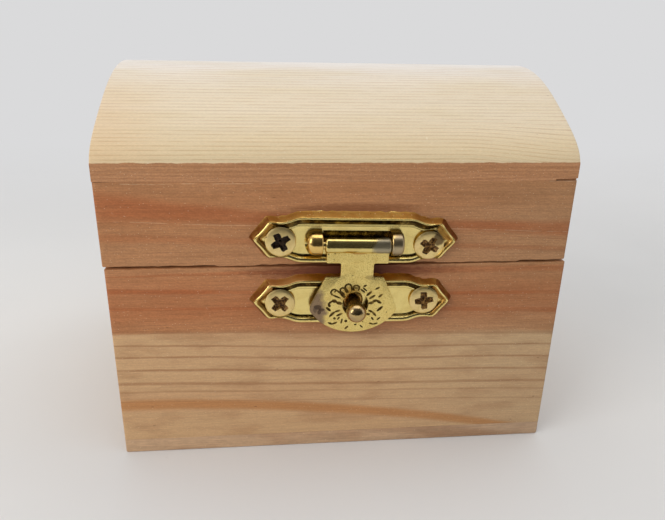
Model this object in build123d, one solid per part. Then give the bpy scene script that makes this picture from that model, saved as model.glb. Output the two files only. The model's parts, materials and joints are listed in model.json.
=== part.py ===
from build123d import *
import os

# A small pine treasure chest box with an arched lid, two rear hinges and a brass hasp.
# The origin is the middle of the underside. The hasp faces -Y and the hinges face +Y.

# Wooden box, closed
box_width = 70.0
box_depth = 55.0
box_height = 60.0
shoulder_height = 48.0
lid_side_height = 15.5
seam_gap = 0.3
wall = 4.5
bottom_thickness = 2.5
top_edge_thickness = 2.75
crest_thickness = 4.0
lid_shift = 0.2

# Pressed plates of the hasp: the crest of the raised border, from the middle of the plate
plate_tip_x = 14.6
plate_corner_x = 12.6
plate_corner_z = 2.75
plate_shoulder_x = 8.7
plate_shoulder_z = 3.25
tip_hollow = 0.15
scallop_hollow = 0.5
plate_sheet = 0.45
skirt_run = 0.8
border_height = 1.3
border_width = 0.25
border_slope_run = 0.6
ledge_height = 0.85
ledge_width = 0.3
ledge_step_run = 0.1
field_height = 0.65
corner_grow_share = 0.75
tip_grow_share = 1.2
hollow_stop_share = 0.35

# Places of the plates on the front: they were fixed by hand, a little askew
hasp_x = 1.7
lower_plate_shift = 0.2
upper_plate_margin = 0.1
lower_plate_drop = 1.3
upper_tilt = 1.3
lower_tilt = 0.9

# Screws, used alike for the hasp and the hinges
screw_head_radius = 2.15
screw_rim = 0.2
screw_cone = 0.95
screw_shank_radius = 0.95
screw_shank_length = 1.6
screw_root_radius = 0.65
screw_crest_radius = 0.95
screw_pitch = 0.6
screw_length = 4.9
screw_point = 1.0
recess_length = 2.7
recess_width = 0.75
recess_depth = 0.7
recess_core_radius = 0.65
recess_core_depth = 1.0
seat_clearance = 0.05
shank_clearance = 0.15
pilot_extra = 0.2
hasp_screw_offset = 11.05
hasp_screw_proud = 0.05
upper_left_screw_drop = 0.4
upper_right_screw_drop = 0.8
lower_left_screw_drop = 0.3
upper_right_screw_tip = 5.0
screw_turn_upper_left = 30.0
screw_turn_upper_right = 62.0
screw_turn_lower_left = 45.0
screw_turn_lower_right = 8.0

# Hasp pin and the two loops of the upper plate that hold it
pin_radius = 0.6
pin_drop = 0.55
loop_inner = 5.2
loop_length = 1.8
loop_wall = 0.65
loop_rounding = 0.35

# Hasp tongue
barrel_wall = 0.5
barrel_length = 9.5
barrel_clearance = 0.05
barrel_gap = 0.15
tongue_shift = 0.3
tongue_sheet = 0.6
tongue_gap = 0.2
tongue_top_width = 9.2
tongue_top_drop = 2.8
neck_width = 4.9
disc_top_width = 8.7
disc_top_rise = 4.45
disc_width = 13.0
disc_bulge_drop = 1.0
disc_bottom_drop = 4.65
disc_shift = 0.25
disc_corner_radius = 2.2
disc_top_corner_radius = 0.3
neck_root_radius = 0.3
stud_hole_radius = 2.0

# Hasp stud
stud_rise = 0.15
stud_foot_radius = 1.6
stud_foot = 0.3
stud_rivet_radius = 0.8
stud_stem_radius = 1.1
stud_ball_radius = 1.3
stud_ball_height = 5.4

# Hinges
hinge_end_margin = 6.0
hinge_length = 18.0
hinge_leaf_height = 8.0
hinge_sheet = 0.6
knuckle_radius = 1.15
knuckle_lift = 0.25
knuckle_gap = 0.2
middle_knuckle_length = 6.0
notch_gap = 0.2
hinge_pin_radius = 0.5
hinge_pin_clearance = 0.05
hinge_pin_recess = 0.1
hinge_screw_spread = 5.7
hinge_screw_height = 4.75
hinge_screw_proud = 0.25

# How far a cutting shape runs past the face it opens
overrun = 1.0

# Worked-out places of the box
half_width = box_width / 2
half_depth = box_depth / 2
inner_half_width = half_width - wall
inner_half_depth = half_depth - wall
split_height = shoulder_height - lid_side_height
base_top = split_height - seam_gap / 2
lid_bottom = split_height + seam_gap / 2
wall_top = shoulder_height - top_edge_thickness
arch_underside = box_height - crest_thickness
front_y = -half_depth

# Worked-out sizes of the hasp
plate_reach = plate_shoulder_z + skirt_run
border_inside = border_width + border_slope_run
field_inside = border_inside + ledge_width + ledge_step_run
barrel_radius = pin_radius + barrel_clearance + barrel_wall
pin_y = front_y - field_height - barrel_gap - barrel_radius
tongue_back = border_height + tongue_gap
hasp_screw_top = border_height + hasp_screw_proud

# Where the two plates sit: each half of the hasp is drawn round its plate's middle, then put there
upper_plate_z = lid_bottom + upper_plate_margin + plate_reach
lower_plate_z = base_top - lower_plate_drop - plate_reach
upper_place = Pos(hasp_x, 0, upper_plate_z) * Rot(0, upper_tilt, 0)
lower_place = Pos(hasp_x - lower_plate_shift, 0, lower_plate_z) * Rot(0, lower_tilt, 0)
stud_hole_z = lower_plate_z - stud_rise - upper_plate_z

# Worked-out places of the hinges
hinge_offset = half_width - hinge_end_margin - hinge_length / 2
hinge_axis_y = half_depth + knuckle_radius + knuckle_lift
hinge_screw_top = hinge_sheet + hinge_screw_proud


def block(low, high):
    """A box between its lowest and its highest corner."""
    size = [end - start for start, end in zip(low, high)]
    middle = [(start + end) / 2 for start, end in zip(low, high)]
    return Pos(*middle) * Box(*size)


def rod_x(radius, start, end, y, z):
    """A round rod along X."""
    return Pos((start + end) / 2, y, z) * Rot(0, 90, 0) * Cylinder(radius, end - start)


def front_plane(height):
    """The plane at this height in front of the front face, with X to the right and Z up."""
    return Plane(origin=(0, front_y - height, 0), x_dir=(1, 0, 0), z_dir=(0, -1, 0))


def slab_x(outline, start, end):
    """A slice along X of an outline that is drawn in Y and Z."""
    face = Pos(start, 0, 0) * (Plane.YZ * make_face(outline))
    return extrude(face, amount=end - start, dir=(1, 0, 0))


# Screws

def screw_body():
    """One countersunk wood screw: its axis is Z and the top of its head is at zero."""
    cone_end = -screw_rim - screw_cone
    thread_end = screw_point - screw_length
    points = [(0, 0), (screw_head_radius, 0), (screw_head_radius, -screw_rim)]
    points += [(screw_shank_radius, cone_end), (screw_shank_radius, -screw_shank_length)]
    height = -screw_shank_length
    while height - screw_pitch > thread_end:
        points.append((screw_root_radius, height))
        points.append((screw_crest_radius, height - screw_pitch / 2))
        height -= screw_pitch
    points += [(screw_root_radius, height), (0, -screw_length)]
    profile = make_face(Polyline(*points, close=True))
    body = revolve(Plane.XZ * profile, Axis.Z)
    arm = Box(recess_length, recess_width, recess_depth * 2)
    core = Pos(0, 0, -recess_core_depth / 2) * Cone(0, recess_core_radius, recess_core_depth)
    return body - arm - Rot(0, 0, 90) * arm - core


def screw_seat(bore_radius):
    """The hole for one screw, with its countersink, in the screw's own place."""
    wide = screw_head_radius + seat_clearance
    depth = screw_length + pilot_extra
    mouth = Pos(0, 0, (overrun - screw_rim) / 2) * Cylinder(wide, overrun + screw_rim)
    cone = Pos(0, 0, -screw_rim - screw_cone / 2) * Cone(
        screw_shank_radius + seat_clearance, wide, screw_cone)
    bore = Pos(0, 0, -depth / 2) * Cylinder(bore_radius, depth)
    return mouth + cone + bore


def holed(sheet, places):
    """A plate or a leaf with the countersunk holes of its screws."""
    for place in places:
        sheet = sheet - place * screw_seat(screw_shank_radius + shank_clearance)
    return sheet


def drilled(panel, places):
    """A wooden panel with the pilot holes that its screws bite into."""
    for place in places:
        panel = panel - place * screw_seat(screw_root_radius)
    return panel


def hasp_screw_place(side, drop, turn, tip=0):
    """Where a hasp screw goes on its plate: head outwards, turned about its own axis, and tipped."""
    seat = Pos(side * hasp_screw_offset, front_y - hasp_screw_top, -drop)
    return seat * Rot(90 + tip, 0, 0) * Rot(0, 0, turn)


def back_screw_place(x, z):
    return Pos(x, half_depth + hinge_screw_top, z) * Rot(-90, 0, 0)


hasp_screw_places = {
    "hasp_screw_upper_left": upper_place * hasp_screw_place(
        -1, upper_left_screw_drop, screw_turn_upper_left),
    "hasp_screw_upper_right": upper_place * hasp_screw_place(
        1, upper_right_screw_drop, screw_turn_upper_right, upper_right_screw_tip),
    "hasp_screw_lower_left": lower_place * hasp_screw_place(
        -1, lower_left_screw_drop, screw_turn_lower_left),
    "hasp_screw_lower_right": lower_place * hasp_screw_place(1, 0, screw_turn_lower_right),
}


def hasp_places(row):
    """The two screw places of the upper or the lower plate."""
    return [place for name, place in hasp_screw_places.items() if row in name]


def hinge_places(hinge_x, side):
    """The two screw places of a hinge leaf: side is 1 for the lid's leaf and -1 for the base's."""
    z = split_height + side * hinge_screw_height
    return [back_screw_place(hinge_x + end * hinge_screw_spread, z) for end in (-1, 1)]


# Wooden panels

def base_long_panel(side):
    """The front or back wall of the base, over the full width: side is -1 in front and 1 behind."""
    inner, outer = sorted((side * inner_half_depth, side * half_depth))
    return block((-half_width, inner, bottom_thickness), (half_width, outer, base_top))


def base_end_panel(side):
    """The left or right wall of the base, held between the front and back walls."""
    inner, outer = sorted((side * inner_half_width, side * half_width))
    return block((inner, -inner_half_depth, bottom_thickness), (outer, inner_half_depth, base_top))


def bottom_panel():
    return block((-half_width, -half_depth, 0), (half_width, half_depth, bottom_thickness))


def lid_long_panel(side):
    """The front or back wall of the lid, from the saw cut up to the arched panel's edge."""
    inner, outer = sorted((side * inner_half_depth, side * half_depth))
    return block((-half_width - lid_shift, inner, lid_bottom),
                 (half_width - lid_shift, outer, wall_top))


def lid_end(side):
    """The left or right end of the lid, whose top follows the inside of the arch."""
    inner, outer = sorted((side * inner_half_width, side * half_width))
    outline = [
        Line((-inner_half_depth, lid_bottom), (inner_half_depth, lid_bottom)),
        Line((inner_half_depth, lid_bottom), (inner_half_depth, wall_top)),
        ThreePointArc((inner_half_depth, wall_top), (0, arch_underside), (-inner_half_depth, wall_top)),
        Line((-inner_half_depth, wall_top), (-inner_half_depth, lid_bottom)),
    ]
    return slab_x(outline, inner - lid_shift, outer - lid_shift)


def lid_top_panel():
    """The arched panel: it lands flat on the front and back walls and is hollowed between them."""
    outline = [
        Line((-half_depth, wall_top), (-inner_half_depth, wall_top)),
        ThreePointArc((-inner_half_depth, wall_top), (0, arch_underside), (inner_half_depth, wall_top)),
        Line((inner_half_depth, wall_top), (half_depth, wall_top)),
        Line((half_depth, wall_top), (half_depth, shoulder_height)),
        ThreePointArc((half_depth, shoulder_height), (0, box_height), (-half_depth, shoulder_height)),
        Line((-half_depth, shoulder_height), (-half_depth, wall_top)),
    ]
    return slab_x(outline, -half_width - lid_shift, half_width - lid_shift)


# Hasp plates

def dished(start, end, hollow):
    """A shallow arc from start to end that bends in to the left, towards the plate's middle."""
    along = Vector(*end) - Vector(*start)
    inward = Vector(-along.Y, along.X).normalized()
    middle = (Vector(*start) + Vector(*end)) / 2 + inward * hollow
    return ThreePointArc(start, middle, end)


def plate_ring(grow, height):
    """The plate's outline, made larger by grow, at this height in front of the box."""
    tip = (plate_tip_x + grow * tip_grow_share, 0)
    corner = (plate_corner_x + grow * corner_grow_share, plate_corner_z + grow * corner_grow_share)
    shoulder = (plate_shoulder_x, plate_shoulder_z + grow)
    upper = [tip, corner, shoulder]
    upper += [(-x, z) for x, z in reversed(upper)]
    ring = upper + [(-x, -z) for x, z in upper[1:-1]]
    hollows = [tip_hollow, scallop_hollow, 0, scallop_hollow, tip_hollow] * 2
    edges = []
    for index, hollow in enumerate(hollows):
        start, end = ring[index], ring[(index + 1) % len(ring)]
        edges.append(dished(start, end, hollow) if hollow else Line(start, end))
    return front_plane(height) * make_face(edges)


def plate_layer(lower, upper):
    """The solid between two rings, each given as its growth and its height."""
    return loft([plate_ring(*lower), plate_ring(*upper)], ruled=True)


def pressed_plate():
    """A plate pressed from sheet: a skirt, a raised border, a ledge inside it and a flat field."""
    outside = plate_layer((skirt_run, 0), (0, border_height))
    slope = plate_layer((-border_inside, ledge_height), (-border_width, border_height))
    mouth = plate_layer((-border_width, border_height), (-border_width, border_height + overrun))
    field = plate_layer((-field_inside, field_height), (-border_inside - ledge_width, ledge_height))
    under_top = border_height - plate_sheet
    under = plate_layer((skirt_run - plate_sheet, 0), (-border_width * hollow_stop_share, under_top))
    keep = plate_layer((-border_inside + plate_sheet, 0), (-border_width, under_top))
    back = plate_layer((-border_inside, 0), (-border_inside, field_height - plate_sheet))
    return outside - slope - mouth - field - (under - keep) - back


def pin_rod(radius, extra=0):
    """A rod on the hasp pin's axis, as long as the pin and a little more at each end."""
    reach = loop_inner + loop_length + extra
    return rod_x(radius, -reach, reach, pin_y, -pin_drop)


def pin_loop(side):
    """One pressed-out loop of the upper plate: a round tunnel on a short foot."""
    radius = pin_radius + loop_wall
    start, end = sorted((side * loop_inner, side * (loop_inner + loop_length)))
    foot_back = front_y - field_height + plate_sheet
    foot = block((start, pin_y, -pin_drop - radius), (end, foot_back, -pin_drop + radius))
    loop = rod_x(radius, start, end, pin_y, -pin_drop) + foot
    outer_face = loop.faces().sort_by(Axis.X)[-1 if side > 0 else 0]
    return fillet(outer_face.edges().filter_by(GeomType.CIRCLE), loop_rounding)


def hasp_upper_plate():
    plate = pressed_plate() + pin_loop(-1) + pin_loop(1) - pin_rod(pin_radius, overrun)
    return holed(upper_place * plate, hasp_places("upper"))


def hasp_lower_plate():
    rivet = Pos(0, front_y, 0) * Rot(90, 0, 0) * Cylinder(stud_rivet_radius, (field_height + overrun) * 2)
    return holed(lower_place * (pressed_plate() - rivet), hasp_places("lower"))


def hasp_pin():
    return upper_place * pin_rod(pin_radius)


def tongue_outline():
    """The flat part of the tongue: a wide top, a neck, and a shield-shaped disc with a round foot."""
    step = -pin_drop - tongue_top_drop
    disc_top = stud_hole_z + disc_top_rise
    bulge = stud_hole_z - disc_bulge_drop
    halves = [(tongue_top_width / 2, -pin_drop), (tongue_top_width / 2, step), (neck_width / 2, step),
              (neck_width / 2, disc_top)]
    disc = [(disc_top_width / 2, disc_top), (disc_width / 2, bulge)]
    left = [(-x, z) for x, z in halves] + [(-x - disc_shift, z) for x, z in disc]
    right = [(x - disc_shift, z) for x, z in reversed(disc)] + [(x, z) for x, z in reversed(halves)]
    foot = (-disc_shift, stud_hole_z - disc_bottom_drop)
    edges = [Line(start, end) for start, end in zip(left, left[1:])]
    edges.append(ThreePointArc(left[-1], foot, right[0]))
    edges += [Line(start, end) for start, end in zip(right, right[1:])]
    edges.append(Line(right[-1], left[0]))
    face = make_face(edges)
    rounding = {left[5]: disc_corner_radius, right[0]: disc_corner_radius,
                left[4]: disc_top_corner_radius, right[1]: disc_top_corner_radius,
                left[2]: neck_root_radius, right[3]: neck_root_radius,
                left[3]: neck_root_radius, right[2]: neck_root_radius}
    for corner, radius in rounding.items():
        nearest = face.vertices().sort_by_distance((*corner, 0))[0]
        face = fillet(nearest, radius)
    return Pos(tongue_shift, 0, 0) * face


def hasp_tongue():
    """The tongue: a barrel rolled round the pin, and a flat sheet with the hole for the stud."""
    start = tongue_shift - barrel_length / 2
    end = tongue_shift + barrel_length / 2
    sheet = extrude(front_plane(tongue_back) * tongue_outline(), amount=tongue_sheet, dir=(0, -1, 0))
    tongue = sheet + rod_x(barrel_radius, start, end, pin_y, -pin_drop)
    tongue = tongue - pin_rod(pin_radius + barrel_clearance, overrun)
    hole = Pos(tongue_shift, front_y - tongue_back, stud_hole_z) * Rot(90, 0, 0) * Cylinder(
        stud_hole_radius, (tongue_sheet + overrun) * 2)
    return upper_place * (tongue - hole)


def hasp_stud():
    """The stud that the tongue drops over: a riveted end, a foot, a stem and a ball."""
    back = field_height - plate_sheet
    foot_top = field_height + stud_foot
    step = (stud_ball_radius ** 2 - stud_stem_radius ** 2) ** 0.5
    tip = stud_ball_height + stud_ball_radius
    profile = [
        Line((0, back), (stud_rivet_radius, back)),
        Line((stud_rivet_radius, back), (stud_rivet_radius, field_height)),
        Line((stud_rivet_radius, field_height), (stud_foot_radius, field_height)),
        Line((stud_foot_radius, field_height), (stud_foot_radius, foot_top)),
        Line((stud_foot_radius, foot_top), (stud_stem_radius, foot_top)),
        Line((stud_stem_radius, foot_top), (stud_stem_radius, stud_ball_height - step)),
        ThreePointArc((stud_stem_radius, stud_ball_height - step),
                      (stud_ball_radius, stud_ball_height), (0, tip)),
        Line((0, tip), (0, back)),
    ]
    body = revolve(Plane.XZ * make_face(profile), Axis.Z)
    return lower_place * Pos(0, front_y, 0) * Rot(90, 0, 0) * body


# Hinges

def knuckle(start, end):
    """One knuckle of a hinge, with the strip of sheet that it is rolled from."""
    return rod_x(knuckle_radius, start, end, hinge_axis_y, split_height)


def hinge_leaf(hinge_x, side):
    """A leaf: side 1 is the lid's, with the middle knuckle, and -1 the base's, with the outer two."""
    half = hinge_length / 2
    middle = middle_knuckle_length / 2
    back = half_depth + hinge_sheet
    low, high = sorted((split_height, split_height + side * hinge_leaf_height))
    leaf = block((hinge_x - half, half_depth, low), (hinge_x + half, back, high))
    own = [(-middle, middle)] if side > 0 else [(-half, -middle - knuckle_gap), (middle + knuckle_gap, half)]
    other = [(-half - overrun, -middle), (middle, half + overrun)]
    if side < 0:
        other = [(-middle - knuckle_gap, middle + knuckle_gap)]
    notch = knuckle_radius + notch_gap
    for start, end in other:
        leaf = leaf - block((hinge_x + start, half_depth - overrun, split_height - notch),
                            (hinge_x + end, back + overrun, split_height + notch))
    for start, end in own:
        leaf = leaf + knuckle(hinge_x + start, hinge_x + end)
    bore = hinge_pin_radius + (hinge_pin_clearance if side > 0 else 0)
    leaf = leaf - rod_x(bore, hinge_x - half - overrun, hinge_x + half + overrun,
                        hinge_axis_y, split_height)
    return holed(leaf, hinge_places(hinge_x, side))


def hinge_pin(hinge_x):
    reach = hinge_length / 2 - hinge_pin_recess
    return rod_x(hinge_pin_radius, hinge_x - reach, hinge_x + reach, hinge_axis_y, split_height)


def screws(places):
    return Compound(children=[place * screw_body() for place in places])


def build():
    """Every piece of the box by its name."""
    hinge_x = {"left": -hinge_offset, "right": hinge_offset}
    back_places = {side: hinge_places(-hinge_offset, side) + hinge_places(hinge_offset, side)
                   for side in (-1, 1)}
    parts = {
        "bottom_panel": bottom_panel(),
        "base_front_panel": drilled(base_long_panel(-1), hasp_places("lower")),
        "base_back_panel": drilled(base_long_panel(1), back_places[-1]),
        "base_left_panel": base_end_panel(-1),
        "base_right_panel": base_end_panel(1),
        "lid_front_panel": drilled(lid_long_panel(-1), hasp_places("upper")),
        "lid_back_panel": drilled(lid_long_panel(1), back_places[1]),
        "lid_left_end": lid_end(-1),
        "lid_right_end": lid_end(1),
        "lid_top_panel": lid_top_panel(),
        "hasp_upper_plate": hasp_upper_plate(),
        "hasp_pin": hasp_pin(),
        "hasp_tongue": hasp_tongue(),
        "hasp_lower_plate": hasp_lower_plate(),
        "hasp_stud": hasp_stud(),
    }
    for name, place in hasp_screw_places.items():
        parts[name] = place * screw_body()
    for name, x in hinge_x.items():
        parts[name + "_hinge_base_leaf"] = hinge_leaf(x, -1)
        parts[name + "_hinge_lid_leaf"] = hinge_leaf(x, 1)
        parts[name + "_hinge_pin"] = hinge_pin(x)
        parts[name + "_hinge_base_screws"] = screws(hinge_places(x, -1))
        parts[name + "_hinge_lid_screws"] = screws(hinge_places(x, 1))
    return parts


os.makedirs("parts", exist_ok=True)
for part_name, shape in build().items():
    export_step(shape, os.path.join("parts", part_name + ".step"))
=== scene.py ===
import json
import math

import bmesh
import bpy
from mathutils import Matrix, Vector, kdtree, noise

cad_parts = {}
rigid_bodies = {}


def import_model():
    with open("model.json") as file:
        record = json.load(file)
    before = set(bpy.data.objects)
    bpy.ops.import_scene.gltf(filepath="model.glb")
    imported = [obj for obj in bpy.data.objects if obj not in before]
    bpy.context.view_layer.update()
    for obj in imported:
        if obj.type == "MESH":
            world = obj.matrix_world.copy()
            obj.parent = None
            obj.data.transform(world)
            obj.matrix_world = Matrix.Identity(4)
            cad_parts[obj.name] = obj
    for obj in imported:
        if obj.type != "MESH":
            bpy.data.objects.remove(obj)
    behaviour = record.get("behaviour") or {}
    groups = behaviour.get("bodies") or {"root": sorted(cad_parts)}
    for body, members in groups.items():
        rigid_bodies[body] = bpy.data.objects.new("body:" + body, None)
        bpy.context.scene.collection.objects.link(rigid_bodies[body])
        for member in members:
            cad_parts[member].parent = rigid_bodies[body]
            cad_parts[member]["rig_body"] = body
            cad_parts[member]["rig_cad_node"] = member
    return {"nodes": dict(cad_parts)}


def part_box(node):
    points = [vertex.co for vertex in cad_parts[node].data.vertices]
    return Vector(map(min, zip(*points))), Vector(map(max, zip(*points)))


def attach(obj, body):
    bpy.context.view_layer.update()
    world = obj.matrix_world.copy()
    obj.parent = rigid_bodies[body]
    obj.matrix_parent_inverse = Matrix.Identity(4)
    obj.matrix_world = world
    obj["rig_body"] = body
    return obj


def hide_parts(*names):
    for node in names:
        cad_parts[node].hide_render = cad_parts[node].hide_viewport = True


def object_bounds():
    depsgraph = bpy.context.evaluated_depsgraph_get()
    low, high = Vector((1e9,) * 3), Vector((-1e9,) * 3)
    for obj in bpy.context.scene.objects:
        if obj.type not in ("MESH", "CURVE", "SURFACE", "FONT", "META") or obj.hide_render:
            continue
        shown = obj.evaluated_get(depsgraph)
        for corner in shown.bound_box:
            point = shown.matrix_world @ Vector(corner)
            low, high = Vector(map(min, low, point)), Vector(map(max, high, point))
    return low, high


# A small pine treasure chest with an arched lid, two rear hinges and a brass hasp.
# Places are in metres in the part's own frame, and patterns are laid out in millimetres.
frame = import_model()
cad_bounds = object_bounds()
nodes = frame["nodes"]
bpy.ops.object.select_all(action="DESELECT")

mm = 0.001
weld_distance = 0.002 * mm
x_axis, y_axis, z_axis = Vector((1, 0, 0)), Vector((0, 1, 0)), Vector((0, 0, 1))

# Camera
camera_place = (-0.010462, -0.111635, 0.065721)
camera_yaw = 6.0012
camera_pitch = 20.976
camera_roll = 1.1657
camera_lens = 32.711
sensor_width = 36.0

# Sky: its light, and what is added where it is seen or mirrored, and where it is seen straight
sky_light = 0.62
sky_mirrored = 0.25
sky_straight = -0.15

# Wooden box
box_low, box_high = cad_bounds
front_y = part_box("base_front_panel")[0].y
back_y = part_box("base_back_panel")[1].y
base_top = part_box("base_front_panel")[1].z
lid_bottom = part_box("lid_front_panel")[0].z
wall_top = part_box("lid_front_panel")[1].z
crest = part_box("lid_top_panel")[1].z
arch_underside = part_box("lid_left_end")[1].z
inner_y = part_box("base_front_panel")[1].y
shoulder = 48.0 * mm
corner_easing = 0.3 * mm
arris_easing = 0.1 * mm
joint_easing = 0.04 * mm
outside_reach = 0.45 * mm
foot_reach = 0.1 * mm
shoulder_easing = 0.12 * mm
shoulder_wear = 0.12 * mm
shoulder_cuts = 90
long_board = 10.0 * mm
saw_step = 0.5 * mm
saw_fray = 0.07 * mm
arch_steps = 56
arch_fullness = 0.4 * mm

# Open glue lines under the lid's board: across, how tall, and how they lean
glue_gaps = ((34.2 * mm, 0.7 * mm, -2.4), (-34.4 * mm, 0.15 * mm, 1.6))
glue_gap_length = 5.5 * mm
glue_gap_depth = 0.9 * mm

# The saw cut is wider in some stretches of the front: from, to, and how much it opens
seam_stretches = (
    (-36.0, -19.0, 0.11), (-19.0, -12.5, -0.07), (-12.5, -8.0, 0.06),
    (-8.0, 14.0, 0.1), (14.0, 27.0, -0.08), (27.0, 36.0, 0.08),
)

# Hasp plates, each round its own middle: across, up, and out from the wood
hasp_x = 1.7 * mm
lower_plate_x = 1.5 * mm
upper_plate_z = 36.8 * mm
lower_plate_z = 27.0 * mm
upper_tilt = 1.3
lower_tilt = 0.9
plate_tip = 14.95 * mm
plate_corner = (12.6 * mm, 2.75 * mm)
plate_shoulder = (8.7 * mm, 3.25 * mm)
tip_hollow = 0.15 * mm
scallop_hollow = 0.5 * mm
tip_grow_share = 1.2
corner_grow_share = 0.75
plate_blend = 1.2 * mm
side_steps = 8
top_steps = 24
skirt_wear = 0.22 * mm

# Where the plate's finishes and its painted dark reflection change: heights of the border's inner slope and
# of its crest, and its tips
slope_height = 0.66 * mm
crest_height = 0.92 * mm
tip_slope_x = plate_corner[0] - 0.4 * mm
tip_skirt_x = plate_corner[0] + 0.2 * mm

# Section of the pressed sheet, in millimetres: growth of the outline, height above the middle and below it
plate_front = (
    (-1.42, 0.65, 0.65), (-1.34, 0.66, 0.65), (-1.29, 0.72, 0.65), (-1.26, 0.81, 0.65), (-1.22, 0.85, 0.65),
    (-1.12, 0.86, 0.65), (-1.03, 0.84, 0.65), (-0.96, 0.85, 0.65), (-0.8, 0.9, 0.655), (-0.62, 0.98, 0.71),
    (-0.5, 1.05, 0.88), (-0.42, 1.11, 1.05), (-0.33, 1.2, 1.17), (-0.25, 1.26, 1.23), (-0.13, 1.3, 1.26),
    (-0.02, 1.29, 1.28), (0.08, 1.22, 1.28), (0.17, 1.08, 1.27), (0.25, 0.93, 1.23), (0.4, 0.67, 1.02),
    (0.6, 0.33, 0.5), (0.78, 0.02, 0.02), (0.8, 0.0, 0.0),
)
plate_back = (
    (0.36, 0.0), (0.2, 0.3), (0.05, 0.62), (-0.1, 0.82), (-0.32, 0.82), (-0.6, 0.6),
    (-0.9, 0.42), (-1.1, 0.3), (-1.3, 0.2),
)

# Screws, as radius and height in millimetres: their countersunk holes, their heads and their threads
seat_profile = ((2.38, 1.0), (2.38, -0.2), (1.1, -1.15), (1.1, -3.0), (0.0, -3.0), (0.0, 1.0))
head_profile = (
    (0.0, 0.0), (0.7, -0.01), (1.4, -0.04), (1.88, -0.09), (2.14, -0.15), (2.26, -0.25), (2.26, -0.33),
    (0.95, -1.15), (0.95, -1.6),
)
thread_root = 0.65
thread_crest = 0.95
thread_pitch = 0.6
thread_end = 3.9
screw_length = 4.9
recess_reach = 1.48 * mm
recess_half_width = 0.52 * mm
recess_depth = 0.75 * mm
recess_core = 0.935 * mm
recess_core_depth = 1.05 * mm
recess_core_rise = 0.15 * mm
recess_core_tip = 0.05 * mm
recess_fray = 0.22 * mm
hasp_screw_offset = 11.05 * mm
hasp_screw_height = 1.35 * mm

# Hasp screws: side of the plate, drop, turn and tip
upper_screws = {"hasp_screw_upper_left": (-1, 0.4, 30, 0), "hasp_screw_upper_right": (1, 0.8, 62, 5)}
lower_screws = {"hasp_screw_lower_left": (-1, 0.3, 45, 0), "hasp_screw_lower_right": (1, 0.0, 8, 0)}

# Hinge screws: across from the hinge's middle and up from the cut
hinge_offset = 20.0 * mm
hinge_screw_spread = 5.7 * mm
hinge_screw_height = 4.75 * mm
hinge_screw_top = 0.85 * mm
hinge_z = 32.5 * mm
hinge_easing = 0.09 * mm

# Pin, loops and tongue
pin_radius = 0.6 * mm
pin_height = 1.95 * mm
pin_drop = 0.55 * mm
pin_easing = 0.15 * mm
loop_inner = {-1: 4.95 * mm, 1: 5.12 * mm}
loop_outer = 7.0 * mm
loop_ends = {-1: 7.55 * mm, 1: 7.0 * mm}
loop_section = ((-1.4 * mm, 0.35 * mm), (0.15 * mm, 3.08 * mm), (1.55 * mm, 0.35 * mm))
loop_rounding = {-1: 1.35 * mm, 1: 0.5 * mm}
loop_reach = 1.75 * mm
loop_clearance = 0.02 * mm
field_height = 0.65 * mm
slot_shift = 0.15 * mm
slot_z = 0.68 * mm
slot_depth = 0.5 * mm
slot_height = 1.25 * mm
barrel_radius = 1.15 * mm
barrel_half_length = 4.85 * mm
barrel_shift = 0.2 * mm
barrel_lean = 16.0
barrel_easing = 0.42 * mm
barrel_clearance = 0.05 * mm
barrel_squareness = 2.5
tongue_shift = 0.3 * mm
tongue_back = 1.5 * mm
tongue_front = 2.1 * mm
tongue_half_width = 4.6 * mm
tongue_step = -3.35 * mm
neck_half_width = 2.45 * mm
disc_top = -5.5 * mm
disc_half_top = 4.35 * mm
disc_half_width = 6.82 * mm
disc_bulge = -10.95 * mm
disc_foot = -14.6 * mm
disc_shift = 0.3 * mm
disc_corner = 1.3 * mm
hole_z = -9.95 * mm
hole_radius = 2.0 * mm
tongue_easing = 0.1 * mm

# Stud, as radius and height in millimetres
stud_profile = (
    (0.0, 0.2), (0.8, 0.2), (0.8, 0.65), (1.55, 0.65), (1.6, 0.72), (1.58, 0.88), (1.45, 0.95),
    (1.18, 1.0), (1.1, 1.15), (1.1, 2.6), (1.1, 4.2),
)
ball_radius = 1.48
ball_height = 5.2
ball_steps = 12
ball_foot = 4.3


# Modelling helpers

def only(piece):
    """Selects this piece alone."""
    bpy.ops.object.select_all(action="DESELECT")
    piece.select_set(True)
    bpy.context.view_layer.objects.active = piece


def settled(piece):
    """The same piece at the origin, with its place in its mesh."""
    only(piece)
    bpy.ops.object.transform_apply(location=True, rotation=True, scale=True)
    return piece


def start(add, **settings):
    """A primitive as a new piece."""
    bpy.ops.object.select_all(action="DESELECT")
    add(**settings)
    return settled(bpy.context.object)


def start_cube(location, size, **settings):
    """A block round its middle."""
    return start(bpy.ops.mesh.primitive_cube_add, size=1, location=location, scale=size, **settings)


def put_in_place(piece, place):
    """Moves a piece's mesh to its place on the box."""
    piece.matrix_world = place
    return settled(piece)


def turned_by(degrees, axis):
    return Matrix.Rotation(math.radians(degrees), 4, axis)


def coat(piece, *materials):
    """Adds materials to a piece."""
    for material in materials:
        piece.data.materials.append(material)
    return piece


def pick(piece, kind, test):
    """Selects, in edit mode, the edges or faces that pass a test."""
    bpy.ops.mesh.select_mode(type=kind)
    bpy.ops.mesh.select_all(action="DESELECT")
    mesh = bmesh.from_edit_mesh(piece.data)
    for item in mesh.edges if kind == "EDGE" else mesh.faces:
        if test(item):
            item.select_set(True)
    bmesh.update_edit_mesh(piece.data)


def ease(piece, test, width, segments, **settings):
    """Rounds, in edit mode, the edges that pass a test."""
    pick(piece, "EDGE", test)
    bpy.ops.mesh.bevel(offset=width, segments=segments, affect="EDGES", **settings)


def open_edit(piece):
    only(piece)
    bpy.ops.object.mode_set(mode="EDIT")
    bpy.ops.mesh.select_all(action="SELECT")


def close_edit():
    bpy.ops.object.mode_set(mode="OBJECT")


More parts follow.
